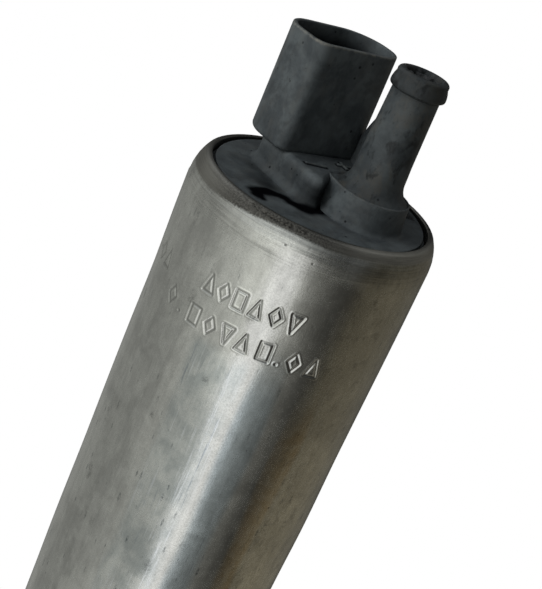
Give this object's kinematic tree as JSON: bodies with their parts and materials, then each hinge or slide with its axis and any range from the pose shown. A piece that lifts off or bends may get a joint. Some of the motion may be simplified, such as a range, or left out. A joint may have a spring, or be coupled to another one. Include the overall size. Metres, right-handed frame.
{
  "type": "in-tank fuel pump",
  "caption": "Cylindrical in-tank fuel pump: aluminium can, black outlet cover with hose stub and oval connector socket, motor, rotor stage and valves inside.",
  "frame": {"origin": "on the can axis, level with the tip of the inlet stub", "axes": "+Z along the can axis towards the outlet, +X along the long side of the connector socket, +Y from the outlet stub towards the socket"},
  "size_m": [0.043, 0.043, 0.146],
  "materials": {
    "can": "drawn and brushed, scuffed",
    "cover_plastic": "moulded, matt black",
    "inlet_metal": "die cast, machined faces",
    "plate_metal": "machined",
    "impeller_plastic": "glass filled, matt",
    "rotor_steel": "sintered, ground",
    "shaft_steel": "ground",
    "flux_steel": "zinc plated, dull",
    "spring_steel": "bright drawn wire",
    "magnet_ferrite": "ground ferrite",
    "core_steel": "stacked sheet edges",
    "copper_wire": "enamelled copper",
    "copper_segment": "turned copper",
    "hub_plastic": "phenolic moulding",
    "insulator_plastic": "pressed fibre",
    "holder_plastic": "moulded, matt grey",
    "brush_carbon": "pressed carbon",
    "lead_copper": "braided copper",
    "choke_ferrite": "fired ferrite",
    "bush_bronze": "sintered bronze",
    "thrust_ceramic": "polished ceramic",
    "seal_rubber": "moulded fuel-proof rubber",
    "terminal_tin": "tinned brass",
    "poppet_plastic": "natural acetal",
    "retainer_plastic": "moulded, matt black"
  },
  "bodies": {
    "housing": {"pump_can": "can", "inlet_cover": "inlet_metal", "inlet_seal": "seal_rubber", "thrust_pad": "thrust_ceramic", "impeller_ring": "plate_metal", "middle_plate": "plate_metal", "rotor_ring": "plate_metal", "bearing_plate": "plate_metal", "locating_pins": "shaft_steel", "lower_bush": "bush_bronze", "upper_bush": "bush_bronze", "flux_ring": "flux_steel", "magnet_right": "magnet_ferrite", "magnet_left": "magnet_ferrite", "magnet_clip_front": "spring_steel", "magnet_clip_back": "spring_steel", "brush_holder": "holder_plastic", "brush_spring_left": "spring_steel", "brush_lead_left": "lead_copper", "choke_core_left": "choke_ferrite", "choke_winding_left": "copper_wire", "brush_spring_right": "spring_steel", "brush_lead_right": "lead_copper", "choke_core_right": "choke_ferrite", "choke_winding_right": "copper_wire", "negative_terminal": "terminal_tin", "positive_terminal": "terminal_tin", "outlet_cover": "cover_plastic", "cover_seal": "seal_rubber", "valve_seat": "seal_rubber", "check_spring": "spring_steel", "valve_retainer": "retainer_plastic", "relief_seat": "bush_bronze", "relief_spring": "spring_steel", "relief_plug": "bush_bronze"},
    "armature": {"armature_shaft": "shaft_steel", "armature_core": "core_steel", "armature_winding": "copper_wire", "lower_insulator": "insulator_plastic", "upper_insulator": "insulator_plastic", "commutator_hub": "hub_plastic", "commutator_segments": "copper_segment", "drive_coupling": "impeller_plastic", "inner_rotor": "rotor_steel", "impeller": "impeller_plastic", "lower_washer": "bush_bronze"},
    "outer_rotor": {"outer_rotor": "rotor_steel"},
    "check_poppet": {"check_poppet": "poppet_plastic"},
    "relief_ball": {"relief_ball": "shaft_steel"},
    "brush_left": {"brush_left": "brush_carbon"},
    "brush_right": {"brush_right": "brush_carbon"}
  },
  "joints": [
    {"name": "armature_spin", "type": "hinge", "parent": "housing", "child": "armature", "pos_m": [0, 0, 0.0403], "axis": [0, 0, 1], "continuous": true},
    {"name": "outer_rotor_spin", "type": "hinge", "parent": "housing", "child": "outer_rotor", "pos_m": [-0.0014, 0, 0.0353], "axis": [0, 0, 1], "continuous": true},
    {"name": "check_valve_lift", "type": "slide", "parent": "housing", "child": "check_poppet", "axis": [0, 0, 1], "range_m": [0, 0.0025], "stiffness_N_per_m": 120, "springref_m": -0.004, "deforming": ["check_spring"]},
    {"name": "relief_valve_lift", "type": "slide", "parent": "housing", "child": "relief_ball", "axis": [0, 0, 1], "range_m": [0, 0.0012], "stiffness_N_per_m": 2500, "springref_m": -0.0015, "deforming": ["relief_spring"]},
    {"name": "brush_left_slide", "type": "slide", "parent": "housing", "child": "brush_left", "axis": [0, 0, 1], "range_m": [0, 0.002], "stiffness_N_per_m": 150, "springref_m": -0.006, "deforming": ["brush_spring_left", "brush_lead_left"]},
    {"name": "brush_right_slide", "type": "slide", "parent": "housing", "child": "brush_right", "axis": [0, 0, 1], "range_m": [0, 0.002], "stiffness_N_per_m": 150, "springref_m": -0.006, "deforming": ["brush_spring_right", "brush_lead_right"]}
  ],
  "couplings": [
    {"joint": "outer_rotor_spin", "follows": "armature_spin", "ratio": 0.85714}
  ]
}
